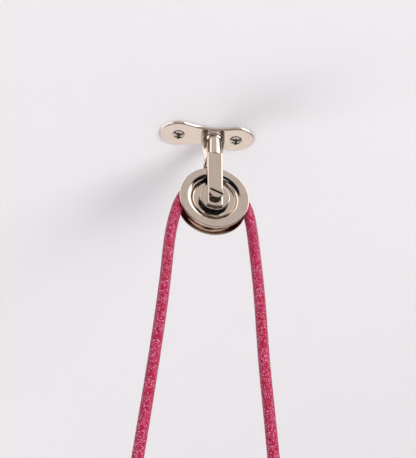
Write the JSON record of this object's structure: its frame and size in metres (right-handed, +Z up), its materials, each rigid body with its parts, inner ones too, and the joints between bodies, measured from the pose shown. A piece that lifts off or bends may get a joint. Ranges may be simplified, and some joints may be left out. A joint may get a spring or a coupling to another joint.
{
  "type": "ceiling pulley",
  "caption": "Swivelling ceiling pulley: lobed plate, forked yoke and grooved wheel, with a fabric-covered cord over it that ends in eyes.",
  "frame": {"origin": "midway between the two fixing screws, on the face of the plate that meets the ceiling", "axes": "+X along the plate towards the swivel's end, +Z up into the ceiling, -Y towards the axle bolt head"},
  "size_m": [0.0969, 0.0242, 0.2838],
  "materials": {
    "nickel_plate": "polished warm nickel plating",
    "screw_steel": "polished plated steel screws",
    "bush_bronze": "plain oiled bearing bronze",
    "braided_cord": "fuchsia and crimson braid with a pale glitter thread",
    "end_fitting": "nickel-plated turned fittings"
  },
  "bodies": {
    "ceiling_mount": {"ceiling_plate": "nickel_plate", "ceiling_screws": "screw_steel", "swivel_stud": "screw_steel", "swivel_collar": "nickel_plate", "swivel_washer": "bush_bronze", "stud_washer": "screw_steel", "stud_nut": "screw_steel"},
    "yoke_assembly": {"yoke": "nickel_plate", "axle_bolt": "nickel_plate", "axle_nut": "nickel_plate", "front_thrust_washer": "bush_bronze", "rear_thrust_washer": "bush_bronze", "cord": "braided_cord", "left_cord_ferrule": "end_fitting", "left_cord_eye": "end_fitting", "right_cord_ferrule": "end_fitting", "right_cord_eye": "end_fitting"},
    "sheave": {"sheave_front_disc": "nickel_plate", "sheave_rear_disc": "nickel_plate", "sheave_hub": "nickel_plate", "sheave_hub_ring": "nickel_plate", "sheave_bush": "bush_bronze"}
  },
  "joints": [
    {"name": "yoke_swivel", "type": "hinge", "parent": "ceiling_mount", "child": "yoke_assembly", "pos_m": [0.00375, 0, -0.0122], "axis": [0, 0, 1], "continuous": true},
    {"name": "sheave_spin", "type": "hinge", "parent": "yoke_assembly", "child": "sheave", "pos_m": [0.00375, 0, -0.051], "axis": [0, 1, 0], "continuous": true}
  ]
}
